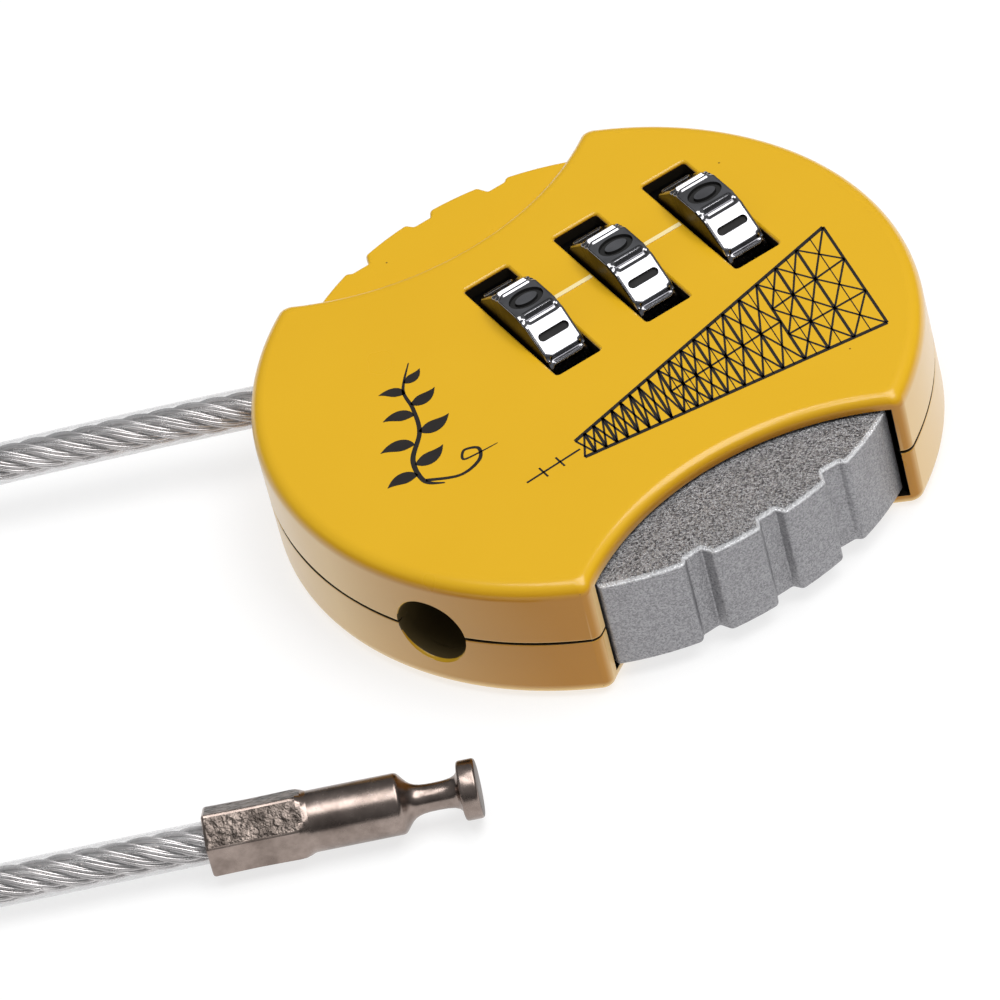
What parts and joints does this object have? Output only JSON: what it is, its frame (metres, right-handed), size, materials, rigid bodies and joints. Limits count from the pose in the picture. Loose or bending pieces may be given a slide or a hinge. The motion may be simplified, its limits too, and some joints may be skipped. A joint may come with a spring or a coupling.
{
  "type": "cable luggage lock",
  "caption": "Round combination lock for luggage, with a push button on one flank and a coated steel cable that ends in a latching plug.",
  "frame": {"origin": "centre of the round case on its back face, where it rests", "axes": "+Z out of the face with the code wheels, +Y towards the rim where the cable leaves, -X towards the push button"},
  "size_m": [0.0642, 0.1064, 0.0118],
  "materials": {
    "case_paint": "gloss",
    "index_paint": "gloss",
    "button_metal": "fine bead blast",
    "latch_steel": "brushed",
    "spring_steel": "bright",
    "wheel_chrome": "polished, dark",
    "sleeve_brass": "satin",
    "black_plastic": "matte",
    "screw_steel": "satin",
    "ferrule_aluminium": "satin",
    "cable_steel": "stranded wire under clear plastic",
    "plug_steel": "dark nickel"
  },
  "bodies": {
    "case": {"upper_shell": "case_paint", "lower_shell": "case_paint", "index_lines": "index_paint", "dial_spindle": "latch_steel", "dial_cradle": "black_plastic", "detent_spring": "spring_steel", "case_screw_1": "screw_steel", "case_screw_2": "screw_steel", "case_screw_3": "screw_steel", "cable_anchor": "ferrule_aluminium", "cable": "cable_steel", "cable_plug": "plug_steel", "button_spring_front": "spring_steel", "button_spring_rear": "spring_steel"},
    "button": {"release_button": "button_metal", "locking_slider": "latch_steel"},
    "dial_1": {"dial_wheel_1": "wheel_chrome", "code_sleeve_1": "sleeve_brass"},
    "dial_2": {"dial_wheel_2": "wheel_chrome", "code_sleeve_2": "sleeve_brass"},
    "dial_3": {"dial_wheel_3": "wheel_chrome", "code_sleeve_3": "sleeve_brass"}
  },
  "joints": [
    {"name": "button_push", "type": "slide", "parent": "case", "child": "button", "axis": [1, 0, 0], "range_m": [0, 0.0012], "stiffness_N_per_m": 500, "springref_m": -0.001, "deforming": ["button_spring_front", "button_spring_rear"]},
    {"name": "dial_1_turn", "type": "hinge", "parent": "case", "child": "dial_1", "pos_m": [0.005, 0.0009, 0.0065], "axis": [0, 1, 0], "continuous": true},
    {"name": "dial_2_turn", "type": "hinge", "parent": "case", "child": "dial_2", "pos_m": [0.005, -0.0063, 0.0065], "axis": [0, 1, 0], "continuous": true},
    {"name": "dial_3_turn", "type": "hinge", "parent": "case", "child": "dial_3", "pos_m": [0.005, -0.0135, 0.0065], "axis": [0, 1, 0], "continuous": true}
  ]
}
